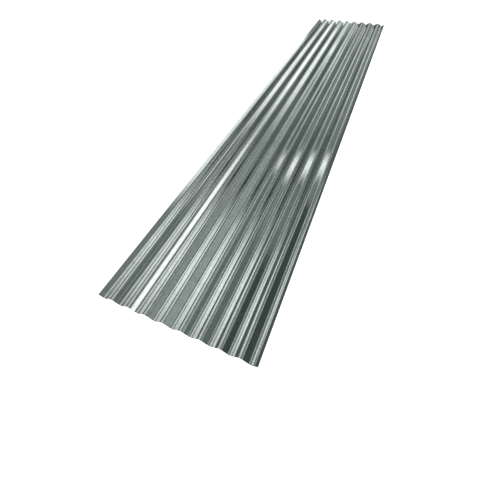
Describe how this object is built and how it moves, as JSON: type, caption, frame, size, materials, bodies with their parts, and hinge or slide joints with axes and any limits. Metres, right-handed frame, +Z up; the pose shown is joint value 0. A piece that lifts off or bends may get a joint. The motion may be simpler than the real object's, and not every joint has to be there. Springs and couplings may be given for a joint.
{
  "type": "corrugated metal sheet",
  "caption": "Long thin zinc-coated steel sheet, roll-formed into shallow rounded waves along its whole length, for roofs and walls.",
  "frame": {"origin": "centre of the sheet's footprint, on the level undersides of its valleys", "axes": "+X across the waves, +Y along the waves, +Z up out of the crests"},
  "size_m": [0.6602, 3.353, 0.019],
  "materials": {
    "zinc_coated_steel": "bright galvanised, smooth and mirror-like with fine spangle"
  },
  "bodies": {
    "root": {"corrugated_sheet": "zinc_coated_steel"}
  },
  "joints": []
}
